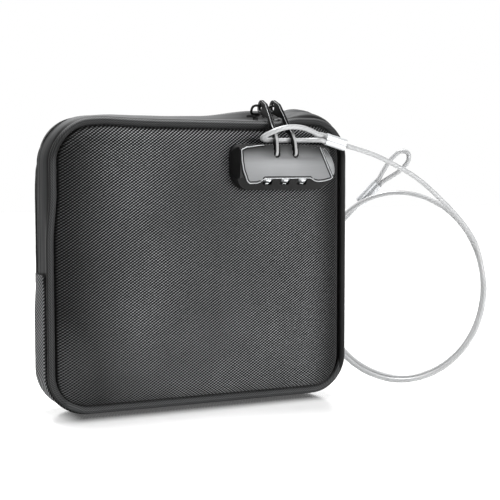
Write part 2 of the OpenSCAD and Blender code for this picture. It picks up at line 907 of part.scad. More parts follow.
function far_point(along, across) = far_end + along * far_run + across * far_side;
far_points = [
    far_point(0, strand_off), far_point(cable_d, strand_off),
    far_point(9, 3.4), far_point(16, 5.2), far_point(23, 4.6), far_point(26.6, 0.6),
    far_point(23.6, -3.6), far_point(16, -4.4), far_point(9, -3),
    far_point(cable_d, -strand_off), far_point(0, -strand_off),
];
far_route = cord(far_points, 3);

echo(coil_least_gap = self_gap(cable_route, 8, cable_d));
echo(near_eye_least_gap = self_gap(near_route, 8, cable_d));
echo(far_eye_least_gap = self_gap(far_route, 8, cable_d));

// A sleeve with a barrel for each of two strands and a groove between the barrels
module ferrule(from, to, up) {
    run = unit(to - from);
    side = cross(up, run);
    multmatrix([
        [side[0], up[0], run[0], from[0]],
        [side[1], up[1], run[1], from[1]],
        [side[2], up[2], run[2], from[2]],
        [0, 0, 0, 1],
    ])
        linear_extrude(norm(to - from)) {
            square([cable_d, 2 * strand_off], center = true);
            for (s = [-1, 1]) translate([0, s * strand_off]) circle(d = barrel_d, $fn = 40);
        }
}

module near_eye() {
    color(cable_grey) tube(near_route, cable_d, [0, 0, 1]);
}

module near_ferrule() {
    color(steel) ferrule(near_left, near_right, near_up);
}

module tether_cable() {
    color(cable_grey) tube(cable_route, cable_d, coil_front);
}

module far_ferrule() {
    color(steel) ferrule(far_start, far_end, far_side);
}

module far_eye() {
    color(cable_grey) tube(far_route, cable_d, coil_front);
}

front_panel();
front_lining();
front_piping();
lower_gusset();
rear_panel_lower();
rear_lining_lower();
rear_piping_lower();
rear_panel_upper();
rear_lining_upper();
rear_piping_upper();
front_zip_tape();
front_zip_coil();
rear_zip_tape();
rear_zip_coil();
slider_left();
slider_right();
pull_left();
pull_right();
lock_base();
lock_plate();
dial_left();
dial_middle();
dial_right();
dial_shaft();
detent_spring();
latch_bar();
release_button();
backing_plate();
lock_screws();
near_eye();
near_ferrule();
tether_cable();
far_ferrule();
far_eye();
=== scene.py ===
import math

import bmesh
import bpy
from mathutils import Matrix, Vector, noise


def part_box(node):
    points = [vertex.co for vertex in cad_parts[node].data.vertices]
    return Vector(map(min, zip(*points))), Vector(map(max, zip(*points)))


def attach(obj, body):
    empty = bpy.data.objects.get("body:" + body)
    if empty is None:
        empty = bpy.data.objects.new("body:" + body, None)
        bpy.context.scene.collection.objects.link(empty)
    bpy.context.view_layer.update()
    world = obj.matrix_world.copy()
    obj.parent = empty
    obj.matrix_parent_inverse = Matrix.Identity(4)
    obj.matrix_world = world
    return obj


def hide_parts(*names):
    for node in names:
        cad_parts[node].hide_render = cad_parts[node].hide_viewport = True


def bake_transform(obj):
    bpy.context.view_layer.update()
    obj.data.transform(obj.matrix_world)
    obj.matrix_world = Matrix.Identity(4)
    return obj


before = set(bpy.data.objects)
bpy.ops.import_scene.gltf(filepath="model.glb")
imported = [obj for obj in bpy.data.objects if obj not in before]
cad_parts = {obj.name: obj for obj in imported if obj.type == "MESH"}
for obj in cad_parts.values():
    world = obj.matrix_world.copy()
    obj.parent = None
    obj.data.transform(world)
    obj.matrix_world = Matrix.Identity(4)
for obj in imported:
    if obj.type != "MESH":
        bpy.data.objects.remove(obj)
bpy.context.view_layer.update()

# Sizes here are millimetres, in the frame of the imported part: X right, -Y front, Z up.
# Numbers inside materials are metres.
MM = 0.001


def mm(v):
    return Vector(v) * MM


def box_mm(node):
    return [Vector(corner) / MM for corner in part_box(node)]


# Driving sizes, taken from the frame
piping_low, piping_high = box_mm("front_piping")
HALF_W = piping_high.x
LOW = piping_low.z
TOP = piping_high.z
MIDDLE = (TOP + LOW) / 2
FOLD = box_mm("front_zip_tape")[0].z
LOCK_LOW, LOCK_HIGH = box_mm("lock_base")
FOLD_GAP = 0.3
CORNER_R = 25

# Piping: its cord's radius and distance from the mid-plane, and its flat flange
PIPING_R = 2.25
PIPING_Y = 17.5
FLANGE_IN = 11
FLANGE_Y = (16, 16.6)
SEAM_Y = PIPING_Y - PIPING_R

# Panels: distance from the outer edge, depths of the side behind the rolled edge, insets of the
# rings on the rolled edge, inset of the last ring on the face, and number of the face's rings
PANEL_IN = 4.5
PANEL_SIDE_Y = (16.6, 17.3)
ROLLED = (0, 0.25, 0.7, 1.4, 2.4, 3.8, 5.6, 7.8, 10.4, 13.4)
INMOST = 84
FACE_RINGS = 24
# Least corner radius of the last ring, and how much more that of the first is
LEAST_R, OUTER_MORE_R = 3, 8
FRONT_CROWN = 6.5
REAR_CROWN = 5
# How much fuller the front is at its lower left corner, and how far it keeps from its right edge
FOOT_FULL = 2.2
EDGE_SHY = 1.6
# Half width, middle height and half height of the dome that the filling makes, and its rise
DOME_HALF_W, DOME_MID, DOME_HALF_H, DOME_RISE = 96, 91, 88, 0.8
# Insets and depths of the lining's rings
LINING_RINGS = ((0, 15.9), (0, 15.0), (3, 14.9), (12, 14.8), (40, 14.8), (INMOST, 14.8))

# Tape and gusset, measured outwards from the piping's outer edge
TAPE_EDGE = -1.9
TAPE_CROWN = 1.6
TAPE_T = 1.1
SIDE_FLAT = 0.6
REAR_SWELL = 3.5
LEFT_SWELL = 2.8
RIGHT_BULGE = 3
COIL_RISE = 0.35
GUSSET_EDGE = -1.6
GUSSET_CROWN = 1.4
GUSSET_T = 2.6
HEM_T = 0.4
# Power of their bow, how much steeper the front tape is along the top, how far from its seam the
# gusset bows, and steps across the tape and across half the gusset
BOW_POWER, TOP_STEEPER = 2.4, 4.6
GUSSET_BOW = 4
TAPE_STEPS, HALF_STEPS = 24, 16

CABLE_D = 3.2
# Diameter of the wire of painted highlight round the lock's plate, inset of the dark wire of
# painted groove shade, and its diameter
HIGHLIGHT_WIRE_D, RIM_IN, SHADE_WIRE_D = 0.5, 0.9, 0.8


def smooth01(low, high, value):
    t = min(1, max(0, (value - low) / (high - low)))
    return t * t * (3 - 2 * t)


# Materials

class Nodes:
    """Short calls for building the nodes of a material or of the world."""

    def __init__(self, owner):
        owner.use_nodes = True
        self.owner = owner
        self.tree = owner.node_tree

    def put(self, node, key, value):
        if isinstance(value, bpy.types.NodeSocket):
            self.tree.links.new(value, node.inputs[key])
        else:
            node.inputs[key].default_value = value

    def add(self, kind, inputs=None, output=0, **settings):
        """One output of a new node."""
        node = self.tree.nodes.new(kind)
        for key, value in settings.items():
            setattr(node, key, value)
        for key, value in (inputs or {}).items():
            self.put(node, key, value)
        return node.outputs[output]

    def math(self, operation, a, b=0.0, c=0.0):
        return self.add("ShaderNodeMath", {0: a, 1: b, 2: c}, operation=operation)

    def linear(self, value, gain, offset):
        return self.math("MULTIPLY_ADD", value, gain, offset)

    def product(self, first, *others):
        for other in others:
            first = self.math("MULTIPLY", first, other)
        return first

    def larger(self, a, b):
        return self.math("MAXIMUM", a, b)

    def limited(self, value, low, high):
        return self.math("MINIMUM", self.larger(value, low), high)

    def mix(self, factor, a, b):
        return self.add("ShaderNodeMix", {0: factor, 6: a, 7: b}, 2, data_type="RGBA")

    def split(self, vector):
        node = self.tree.nodes.new("ShaderNodeSeparateXYZ")
        self.put(node, 0, vector)
        return tuple(node.outputs)

    def axes(self, kind):
        """X, Y and Z of the coordinates called Object, UV or Generated, and their vector. U and
        V are in metres."""
        source = self.add("ShaderNodeTexCoord", output=kind)
        return *self.split(source), source

    def noise(self, where, scale, detail=2.0, rough=0.5):
        return self.add(
            "ShaderNodeTexNoise",
            {"Vector": where, "Scale": scale, "Detail": detail, "Roughness": rough},
        )

    def wave(self, coordinate, pitch, shift=0.0):
        """Sine from -1 to 1 whose lumps lie pitch metres apart."""
        return self.math("SINE", self.linear(coordinate, math.pi / pitch, shift))

    def ramp(self, value, start, end, low, high, kind="SMOOTHSTEP"):
        """From low, where value is start or less, to high, where it is end or more."""
        return self.add(
            "ShaderNodeMapRange",
            {"Value": value, "From Min": start, "From Max": end, "To Min": low, "To Max": high},
            interpolation_type=kind,
        )

    def bump(self, height, strength, distance):
        return self.add(
            "ShaderNodeBump", {"Strength": strength, "Distance": distance, "Height": height}
        )

    def dimmed(self, colour, shade):
        return self.add("ShaderNodeHueSaturation", {"Value": shade, "Color": colour})

    def cloth_colour(self, tone, dark, light, shade):
        """From dark to light by tone, dimmed by shade."""
        return self.dimmed(self.mix(tone, grey(dark, 0.02), grey(light, 0.02)), shade)

    def finish(self, **values):
        """Sets the shader's inputs, whose names have underscores here, and gives the material."""
        for key, value in values.items():
            self.put(self.tree.nodes["Principled BSDF"], key.replace("_", " "), value)
        return self.owner


def material_nodes(name):
    return Nodes(bpy.data.materials.new(name))


def grey(value, tint=0.0):
    """Grey with a little more blue than red where tint is above 0."""
    return (value * (1 - tint), value, value * (1 + tint), 1)


def panel_contrast(n):
    """The weave shows less at the foot."""
    return n.ramp(n.axes("Object")[2], 0.02, 0.075, 0.65, 1)


def panel_shade(n):
    """Painted shade, dark at the sewn root and dimmer at the panel's left and right, and painted
    light, lighter at its foot."""
    x, y, z, _ = n.axes("Object")
    root = n.ramp(n.math("ABSOLUTE", y), 0.0188, 0.0203, 0.03, 1)
    left = n.larger(n.ramp(x, -0.092, -0.045, 0.22, 1), n.ramp(z, 0.03, 0.07, 0.55, 0.2))
    right = n.product(n.ramp(x, 0.067, 0.09, 1, 0.2), n.ramp(x, -0.02, 0.05, 1, 0.93))
    return n.product(root, left, right, n.ramp(z, 0.025, 0.1, 1.25, 0.86))


def gusset_shade(n):
    """Painted shade, dark in the valleys at the strip's two sewn edges and at its foot."""
    strip = 0.0335
    across = n.axes("UV")[1]
    nearest = n.math("MINIMUM", across, n.math("SUBTRACT", strip, across))
    foot = n.ramp(n.axes("Object")[2], 0.001, 0.012, 0.12, 1)
    return n.product(foot, n.ramp(nearest, 0.0022, 0.004, 0.02, 1))


def woven(name, dark, light, pitch, plane, depth=0.0003, sheen=0.1, contrast=None, shade=None):
    """Coarse weave: warp and weft lumps in a chequer that leans into diagonal lines. plane is
    UV, or Object for X and Z. contrast builds nodes that scale the pattern, and shade nodes
    of painted shade that scale the brightness."""
    n = material_nodes(name)
    a, b, c, source = n.axes(plane)
    across, along = (a, c) if plane == "Object" else (a, b)
    drift = n.linear(n.noise(source, 45.0), 2.0, -1.0)
    u = n.math("MULTIPLY_ADD", across, math.pi / pitch[0], drift)
    v = n.math("MULTIPLY_ADD", along, math.pi / pitch[1], drift)
    rising = n.math("COSINE", n.math("SUBTRACT", u, v))
    falling = n.math("COSINE", n.math("ADD", u, v))
    lumps = n.math("COSINE", n.product(u, 2.0))
    lean = n.linear(n.noise(source, 18.0), 0.9, 0.05)
    tone = n.linear(rising, 1.0, 0.35)
    tone = n.math("SUBTRACT", tone, n.product(falling, lean))
    tone = n.linear(lumps, 0.2, tone)
    even = n.limited(n.linear(n.noise(source, 11.0), 1.5, -0.05), 0.4, 1.0)
    if contrast:
        even = n.product(even, contrast(n))
    tone = n.linear(n.math("SUBTRACT", tone, 0.5), even, 0.5)
    filaments = n.noise(source, 2400.0, 1.0)
    tone = n.linear(filaments, 0.3, n.math("SUBTRACT", tone, 0.15))
    tone = n.math("POWER", n.limited(tone, 0.0, 1.5), 2.2)
    blotch_and_painted_shade = n.linear(n.noise(source, 20.0, 3.0), 0.5, 0.75)
    # Where shade is given, painted shade darkens the random blotches.
    if shade:
        blotch_and_painted_shade = n.product(blotch_and_painted_shade, shade(n))
    return n.finish(Base_Color=n.cloth_colour(n.product(tone, 0.52), dark, light, blotch_and_painted_shade),
                    Roughness=0.62, Normal=n.bump(tone, 0.9, depth), Sheen_Weight=sheen,
                    Sheen_Roughness=0.4, Specular_IOR_Level=0.12)


def piping_shade(n):
    """Painted shade: dark at both edges of the cord's cover and in the valley beside the panel at
    the right. At the left the outer side is dark, and along the top the front is dimmer."""
    v = n.axes("UV")[1]
    x, _, z, _ = n.axes("Object")
    sewn = n.product(n.ramp(v, 0.0008, 0.0022, 0.03, 1), n.ramp(v, 0.0118, 0.0128, 1, 0.03))
    left = n.larger(n.ramp(v, 0.0062, 0.0074, 0.03, 0.6), n.ramp(x, -0.096, -0.088, 0, 1))
    top = n.larger(n.ramp(v, 0.0066, 0.0086, 1, 0.4), n.ramp(z, 0.15, 0.166, 1, 0))
    right = n.larger(n.ramp(x, 0.095, 0.0953, 1, 0.06), n.ramp(x, 0.098, 0.0996, 0.06, 1))
    return n.product(sewn, left, top, right)


def twill(name, dark, light, pitch, slant, shade):
    """Fine diagonal ribs over U along the piece and V round it."""
    n = material_nodes(name)
    u, v, _, source = n.axes("UV")
    line = n.linear(v, slant, u)
    rib = n.wave(line, pitch, n.linear(n.noise(source, 60.0), 1.2, -0.6))
    cross = n.wave(v, pitch * 0.8)
    tone = n.linear(rib, 0.4, n.linear(cross, 0.12, 0.5))
    # Random blotches, darkened by the painted shade of the piping.
    blotch_and_painted_shade = n.product(n.linear(n.noise(source, 30.0, 3.0), 0.4, 0.8), shade(n))
    return n.finish(Base_Color=n.cloth_colour(tone, dark, light, blotch_and_painted_shade), Roughness=0.66,
                    Normal=n.bump(tone, 0.6, 0.00015), Sheen_Weight=0.08,
                    Sheen_Roughness=0.35, Specular_IOR_Level=0.3)


def tape_shade(n):
    """Painted shade: dark in the valley of the seam and at the edge over the coil, dimmer along
    the top than at the sides, and dimmest at the left end and right of the sliders."""
    x, y, _, _ = n.axes("Object")
    valley = n.ramp(n.axes("UV")[1], 0.0028, 0.0042, 0.02, 1)
    edge = n.ramp(n.math("ABSOLUTE", y), 0.0002, 0.0006, 0.04, 1)
    return n.product(valley, edge, n.ramp(x, -0.1, -0.08, 0.27, 1),
                     n.ramp(x, -0.08, -0.04, 1, 0.8), n.ramp(x, 0.03, 0.055, 1, 0.72))


def satin_tape(name, dark, light, shade):
    """Smooth tape with fine ribs along it."""
    n = material_nodes(name)
    _, v, _, source = n.axes("UV")
    rib = n.wave(v, 0.0011)
    streaked = n.add("ShaderNodeMapping", {"Vector": source, "Scale": (10, 260, 1)})
    tone = n.linear(rib, 0.14, 0.5)
    tone = n.linear(n.noise(streaked, 1.0), 0.7, n.math("SUBTRACT", tone, 0.35))
    # The tape's colour is darkened by the painted shade.
    return n.finish(Base_Color=n.cloth_colour(tone, dark, light, shade(n)), Roughness=0.6,
                    Normal=n.bump(rib, 0.2, 0.00008), Sheen_Weight=0.05, Sheen_Roughness=0.3,
                    Specular_IOR_Level=0.3)


def smooth_black(name, value, rough, gloss=0.3, highlight_below=None):
    """Black enamel or moulded plastic with a fine grain. Below a given height, narrow faces get a
    painted highlight, a light grey."""
    n = material_nodes(name)
    _, _, z, source = n.axes("Object")
    grain = n.noise(source, 900.0, 3.0)
    marks = n.noise(source, 160.0, 4.0, 0.7)
    colour = grey(value)
    # Painted highlight: narrow faces below the height turn light grey.
    if highlight_below:
        facing = n.split(n.add("ShaderNodeNewGeometry", output="Normal"))[0]
        narrow = n.ramp(n.math("ABSOLUTE", facing), 0.35, 0.75, 1, 0)
        low = n.ramp(z, highlight_below - 0.003, highlight_below + 0.004, 1, 0)
        colour = n.mix(n.product(narrow, low), grey(value), grey(0.42))
    return n.finish(Base_Color=colour, Roughness=n.linear(marks, 0.2, rough - 0.1),
                    Normal=n.bump(grain, 0.12, 0.0001), Specular_IOR_Level=gloss)


def metal(name, value, rough, brush=(900, 60, 60), metallic=1.0, painted_top_shade=None):
    """Metal with a brushed grain, which runs along the axis of the lowest scale. The painted
    shade, if given, is two heights and the tone at the second: the metal is darker above."""
    n = material_nodes(name)
    _, _, z, source = n.axes("Object")
    stretched = n.add("ShaderNodeMapping", {"Vector": source, "Scale": brush})
    grain = n.noise(stretched, 1.0, 3.0)
    wear = n.noise(source, 120.0, 3.0)
    tone = n.linear(grain, 0.16, 0.92)
    # Painted shade: darker towards the top.
    if painted_top_shade:
        start, end, dim = painted_top_shade
        tone = n.product(tone, n.ramp(z, start, end, 1, dim))
    return n.finish(Base_Color=n.dimmed(grey(value, 0.02), tone), Metallic=metallic,
                    Roughness=n.linear(wear, 0.12, rough - 0.06),
                    Normal=n.bump(grain, 0.08, 0.00005))


def coated_cable(name):
    """Twisted steel strands that show faintly through a clear, milky coat."""
    n = material_nodes(name)
    u, v, _, source = n.axes("UV")
    lay = n.wave(n.linear(v, 1.3, u), 0.0016)
    tone = n.linear(lay, 0.12, 0.5)
    tone = n.linear(n.noise(source, 70.0), 0.3, n.math("SUBTRACT", tone, 0.15))
    return n.finish(Base_Color=n.mix(tone, grey(0.38, 0.01), grey(0.62, 0.01)),
                    Roughness=0.32, Normal=n.bump(lay, 0.15, 0.0001), Coat_Weight=0.6,
                    Coat_Roughness=0.08, Specular_IOR_Level=0.5)


PANEL_CLOTH = woven("panel_cloth", 0.0005, 0.54, (0.00125, 0.00088), "Object",
                    contrast=panel_contrast, shade=panel_shade)
GUSSET_CLOTH = woven("gusset_cloth", 0.001, 0.57, (0.001, 0.0018), "UV", sheen=0.02,
                     shade=gusset_shade)
PIPING_TWILL = twill("piping_twill", 0.012, 0.125, 0.0009, 1.4, piping_shade)
ZIP_SATIN = satin_tape("zip_satin", 0.06, 0.17, tape_shade)
LINING_CLOTH = woven("lining_cloth", 0.06, 0.3, (0.0005, 0.0005), "Object", depth=0.0001)
COIL_BLACK = smooth_black("coil_black", 0.016, 0.4)
# The pulls' black, with a painted highlight on their narrow faces low down.
BLACK_ENAMEL = smooth_black("black_enamel", 0.003, 0.45, gloss=0.15, highlight_below=0.1705)
# Painted highlight on the pulls' rounded edges.
PULL_EDGE_HIGHLIGHT = metal("painted_pull_edge_highlight", 0.22, 0.4, metallic=0.4)
SLIDER_ENAMEL = smooth_black("slider_enamel", 0.008, 0.4)
BASE_BLACK = smooth_black("base_black", 0.006, 0.45)
# The face plate's satin grey, with painted shade darkening its top.
FACE_SATIN = metal("face_satin", 0.25, 0.5, (60, 60, 1400), metallic=0.3,
                   painted_top_shade=(0.151, 0.163, 0.08))
# Painted highlight for the rounded edges of the lock's plate and button, and for its wire.
LOCK_EDGE_HIGHLIGHT = metal("painted_lock_edge_highlight", 0.6, 0.35, metallic=0.2)
DIAL_SILVER = metal("dial_silver", 0.6, 0.28, (60, 900, 900))
STEEL = metal("inner_steel_finish", 0.56, 0.35)
FERRULE_ALUMINIUM = metal("ferrule_aluminium", 0.85, 0.35, (300, 300, 300), metallic=0.45)
CABLE_COAT = coated_cable("cable_coat_finish")


# Meshes

def new_piece(name, verts, faces, uvs, material, body=None, slot=None, replaced=()):
    """A mesh object in metres from points in millimetres. uvs holds one pair per face corner."""
    mesh = bpy.data.meshes.new(name)
    mesh.from_pydata([mm(v) for v in verts], [], faces)
    if uvs:
        layer = mesh.uv_layers.new(name="cloth")
        for loop, uv in zip(layer.data, uvs):
            loop.uv = (uv[0] * MM, uv[1] * MM)
    bm = bmesh.new()
    bm.from_mesh(mesh)
    bmesh.ops.recalc_face_normals(bm, faces=bm.faces)
    bm.to_mesh(mesh)
    bm.free()
    mesh.polygons.foreach_set("use_smooth", [True] * len(mesh.polygons))
    mesh.materials.append(material)
    piece = bpy.data.objects.new(name, mesh)
    bpy.context.scene.collection.objects.link(piece)
    if replaced:
        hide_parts(*replaced)
    if body:
        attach(piece, body)
    return piece


def lofted(rings, closed, lengths, widths):
    """Faces and UVs between rings of equally many points. lengths runs along the path, with one
    more entry where the path is closed, and widths runs once round a ring."""
    count, size = len(rings), len(rings[0])
    verts = [p for ring in rings for p in ring]
    faces = []
    uvs = []
    for i in range(count if closed else count - 1):
        for k in range(size):
            j, m = (i + 1) % count, (k + 1) % size
            faces.append((i * size + k, j * size + k, j * size + m, i * size + m))
            uvs += [(lengths[i], widths[k]), (lengths[i + 1], widths[k]),
                    (lengths[i + 1], widths[k + 1]), (lengths[i], widths[k + 1])]
    return verts, faces, uvs


def running_lengths(points, closed=False):
    total = [0.0]
    pairs = list(zip(points, points[1:])) + ([(points[-1], points[0])] if closed else [])
    for a, b in pairs:
        total.append(total[-1] + (Vector(b) - Vector(a)).length)
    return total


def close_ends(faces, uvs, count, size):
    """Adds a flat face at each end of an open loft."""
    faces.append(tuple(range(size)))
    faces.append(tuple((count - 1) * size + k for k in reversed(range(size))))
    uvs += [(0, 0)] * (2 * size)


def dress_node(node, material):
    """Gives one of the frame's own pieces a finish."""
    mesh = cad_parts[node].data
    mesh.materials.clear()
    mesh.materials.append(material)


# The pouch's edge, as places with their outward direction

# How the soft shell settles. A row has millimetres, and the range of X or Z over which they come
# or go. A name with END holds the range of X over which the dip, the tuck or the lean ends
LEFT_DROOP, REAR_DROOP = (4, -104, -62), (11, -102, -50)
TOP_SAG, REAR_SAG = (1.2, -75, -35), (0.3, -20, 8)
EDGE_PUSH, MIDDLE_PUSH, REAR_PUSH = (3.4, 46, 66), (3.4, 52, 72), (5.6, 6, 46)
REAR_DIP, DIP_END = (2.2, 52, 66), (78, 92)
LOW_TUCK, HIGH_TUCK, TUCK_END = (1.2, 60, 84), (0.7, 138, 160), (-98, -70)
LEAN_IN, LEAN_OUT, LEAN_END = (2.3, 104, 136), 1.5, (-98, -80)
# Range of Z over which the lift begins, and ranges of side: from the front edge to the middle for
# the lift and the lean, and from the middle to the rear for the lift and the tuck
LIFT_Z = (120, 178)
LIFT_FRONT, LEAN_FRONT = (-0.95, -0.4), (-0.95, -0.6)
LIFT_REAR, TUCK_REAR = (0.2, 0.85), (0.1, 0.9)


def comes(row, value):
    """A row's millimetres, from none to all of them over its range."""
    most, start, end = row
    return most * smooth01(start, end, value)


def goes(row, value):
    """A row's millimetres, from all of them to none over its range."""
    most, start, end = row
    return most * (1 - smooth01(start, end, value))


def settled(x, z, side):
    """Where the soft shell's place (x, z) really lies, from the front, side -1, to the rear,
    side 1. The top droops at both left corners, most at the rear, sags left of the sliders and
    is pushed up at their right, most at the rear, which dips a little there. At the left the
    rear is tucked in, and the front edge leans out at its foot and in at its top."""
    droop = goes(LEFT_DROOP, x) + comes(TOP_SAG, x)
    edge = comes(EDGE_PUSH, x) - droop
    middle = comes(MIDDLE_PUSH, x) - droop
    rear = comes(REAR_PUSH, x) - comes(REAR_DIP, x) * (1 - smooth01(*DIP_END, x))
    rear -= goes(REAR_DROOP, x) + goes(REAR_SAG, x)
    front = edge + (middle - edge) * smooth01(*LIFT_FRONT, side)
    lift = smooth01(*LIFT_Z, z) * (front + (rear - front) * smooth01(*LIFT_REAR, side))
    tuck = comes(LOW_TUCK, z) + comes(HIGH_TUCK, z)
    tuck *= (1 - smooth01(*TUCK_END, x)) * smooth01(*TUCK_REAR, side)
    lean = comes(LEAN_IN, z) - LEAN_OUT
    lean *= (1 - smooth01(*LEAN_END, x)) * (1 - smooth01(*LEAN_FRONT, side))
    return x + tuck + lean, z + lift


EDGE_STEP = 2.5
ARC_STEPS = 18


def straight(start, end, out):
    """Places from start, but without end."""
    start, end = Vector(start), Vector(end)
    n = max(2, round((end - start).length / EDGE_STEP))
    return [((start + (end - start) * (i / n)).to_tuple(), out) for i in range(n)]


def corner_arc(centre, angle):
    """Places round a corner, clockwise from angle in degrees, without the last."""
    made = []
    for i in range(ARC_STEPS):
        a = math.radians(angle - 90 * i / ARC_STEPS)
        out = (math.cos(a), math.sin(a))
        made.append(((centre[0] + CORNER_R * out[0], centre[1] + CORNER_R * out[1]), out))
    return made


def edge_path(part):
    """Places (x, z) on the piping's outer edge and their outward directions, clockwise from the
    left end of the zip. part is upper, rear_upper, lower or ring."""
    cx, low, high = HALF_W - CORNER_R, LOW + CORNER_R, TOP - CORNER_R
    fold = FOLD + (FOLD_GAP if part == "rear_upper" else 0)
    left, right, up, down = (-1, 0), (1, 0), (0, 1), (0, -1)
    upper = (
        straight((-HALF_W, fold), (-HALF_W, high), left) + corner_arc((-cx, high), 180)
        + straight((-cx, TOP), (cx, TOP), up) + corner_arc((cx, high), 90)
        + straight((HALF_W, high), (HALF_W, fold), right)
    )
    lower = (
        straight((HALF_W, fold), (HALF_W, low), right) + corner_arc((cx, low), 0)
        + straight((cx, LOW), (-cx, LOW), down) + corner_arc((-cx, low), -90)
        + straight((-HALF_W, low), (-HALF_W, fold), left)
    )
    if part == "ring":
        return upper + lower
    if part == "lower":
        return lower + [((-HALF_W, fold), left)]
    return upper + [((HALF_W, fold), right)]


def along_edge(path, profile, side):
    """Rings of points: profile(place, out) gives (outwards, depth from the mid-plane), and side
    is 1 at the rear and -1 at the front."""
    rings = []
    for place, out in path:
        ring = []
        for o, d in profile(place, out):
            x, z = settled(place[0] + o * out[0], place[1] + o * out[1], side * d / SEAM_Y)
            ring.append((x, side * d, z))
        rings.append(ring)
    return rings


def swept(name, part, profile, side, material, **where):
    """A strip that follows the pouch's edge."""
    path = edge_path(part)
    closed = part == "ring"
    rings = along_edge(path, profile, side)
    lengths = running_lengths([(*place, 0) for place, _ in path], closed)
    widths = running_lengths([(*q, 0) for q in profile(*path[0])], True)
    verts, faces, uvs = lofted(rings, closed, lengths, widths)
    if not closed:
        close_ends(faces, uvs, len(rings), len(rings[0]))
    return new_piece(name, verts, faces, uvs, material, **where)


# Camera, from the view that the photograph gives

def make_camera():
    heading, pitch, roll = -25.16, 3.68, 0.09
    lens_px, image_px, sensor = 1091.93, 500, 36
    place = (-264.6, -645.9, 142.5)
    camera = bpy.data.objects.new("camera", bpy.data.cameras.new("camera"))
    bpy.context.scene.collection.objects.link(camera)
    camera.data.sensor_width = sensor
    camera.data.lens = lens_px / image_px * sensor
    camera.data.clip_start = 0.01
    camera.location = mm(place)
    turn = Matrix.Rotation(math.radians(heading), 4, "Z")
    tilt = Matrix.Rotation(math.radians(90 - pitch), 4, "X")
    camera.rotation_euler = (turn @ tilt @ Matrix.Rotation(math.radians(-roll), 4, "Z")).to_euler()
    bpy.context.scene.camera = camera


make_camera()


# Tether, along the route of its solids

def curve_point(a, b, c, d, t):
    """Place on the smooth curve between b and c, on its way from a to d."""
    return 0.5 * ((2 * b) + (c - a) * t + (2 * a - 5 * b + 4 * c - d) * t * t
                  + (3 * b - a - 3 * c + d) * t ** 3)


def smooth_route(points, first, last):
    """Smooth from the point numbered first to the one numbered last."""
    p = [Vector(q) for q in points]
    made = [curve_point(p[i - 1], p[i], p[i + 1], p[i + 2], j / SPAN_STEPS)
            for i in range(first, last) for j in range(SPAN_STEPS)]
    return made + [p[last]]


def cord_route(points):
    """Smooth, with a straight first and last stretch."""
    return ([Vector(points[0])] + smooth_route(points, 1, len(points) - 2)
            + [Vector(points[-1])])


# The coil: its middle, its turn from the front, half its width and height, how far a turn lies
# behind the one before, how much smaller it is, and the angle that the coil sweeps
COIL_MID = Vector((153, -1, 68.2))
COIL_TURN = math.radians(42)
COIL_RIGHT = Vector((math.cos(COIL_TURN), -math.sin(COIL_TURN), 0))
COIL_FRONT = Vector((-math.sin(COIL_TURN), -math.cos(COIL_TURN), 0))
COIL_RX, COIL_RZ = 59.5, 66
COIL_STEP, COIL_SHRINK, COIL_SWEEP = 4.8, 1.5, 590
COIL_RINGS = 24
# How many times finer the cords are than their solids, and steps from one point to the next
FINE = 4
SPAN_STEPS = 3 * FINE
# Half the distance between the two strands in a ferrule
STRAND_OFF = 1.7
NEAR_LEFT, NEAR_RIGHT = Vector((76.3, -34, 168.4)), Vector((90.6, -33.6, 164.6))
FAR_GAP, FAR_LENGTH = 12.5, 18


def coil_point(angle):
    """Place on the coil's centreline, at an angle in degrees from its start at the right."""
    a = math.radians(angle)
    across = (COIL_RX - COIL_SHRINK * angle / 360) * math.cos(a) * COIL_RIGHT
    drop = (COIL_RZ - COIL_SHRINK * max(0, angle - 90) / 360) * math.sin(a)
    return COIL_MID + across - Vector((0, 0, drop)) + COIL_STEP * (1 - angle / 360) * COIL_FRONT


near_run = (NEAR_RIGHT - NEAR_LEFT).normalized()
near_up = near_run.cross(Vector((0, 0, 1)).cross(near_run)).normalized()
near_ends = [NEAR_LEFT + STRAND_OFF * near_up, NEAR_LEFT - STRAND_OFF * near_up]
near_points = [
    near_ends[0], near_ends[0] - CABLE_D * near_run,
    (68.6, -36.8, 171.2), (62, -40.2, 173.1), (54.5, -42, 174.8), (46, -42.2, 175),
    (38.6, -41.2, 173.2), (33.4, -38, 170.6), (31.6, -34.2, 168.6), (34, -30.6, 167.5),
    (40, -29, 167.2), (48, -28.8, 167.2), (56.5, -28.9, 167.3), (64.5, -30.2, 167.4),
    near_ends[1] - CABLE_D * near_run, near_ends[1],
]
lead_points = [
    NEAR_RIGHT, NEAR_RIGHT + CABLE_D * near_run,
    (112, -33.4, 158.8), (127, -33.6, 152.8), (145, -35, 143.4), (162, -37, 129.8),
    (178, -39.6, 114), (189.6, -41.6, 96), coil_point(0), coil_point(360 / COIL_RINGS),
]
far_run = (coil_point(COIL_SWEEP) - coil_point(COIL_SWEEP - 8)).normalized()
far_start = coil_point(COIL_SWEEP) + FAR_GAP * far_run
far_end = far_start + FAR_LENGTH * far_run
far_side = far_run.cross(COIL_FRONT).normalized()


def far_point(along, across):
    """Place on the far eye, from the end of its ferrule."""
    return far_end + along * far_run + across * far_side


far_points = [
    far_point(0, STRAND_OFF), far_point(CABLE_D, STRAND_OFF),
    far_point(9.6, 3.4), far_point(18, 5.4), far_point(26.4, 4.8), far_point(30.2, 0.6),
    far_point(27, -3.8), far_point(18, -4.7), far_point(9.6, -3.2),
    far_point(CABLE_D, -STRAND_OFF), far_point(0, -STRAND_OFF),
]
tether_route = (
    [NEAR_RIGHT] + smooth_route(lead_points, 1, len(lead_points) - 2)
    + [coil_point(min(COIL_SWEEP, i * 360 / (COIL_RINGS * FINE)))
       for i in range(1, math.ceil(COIL_SWEEP * COIL_RINGS * FINE / 360) + 1)]
    + [far_start - CABLE_D * far_run, far_start]
)
near_route = cord_route(near_points)
far_route = cord_route(far_points)


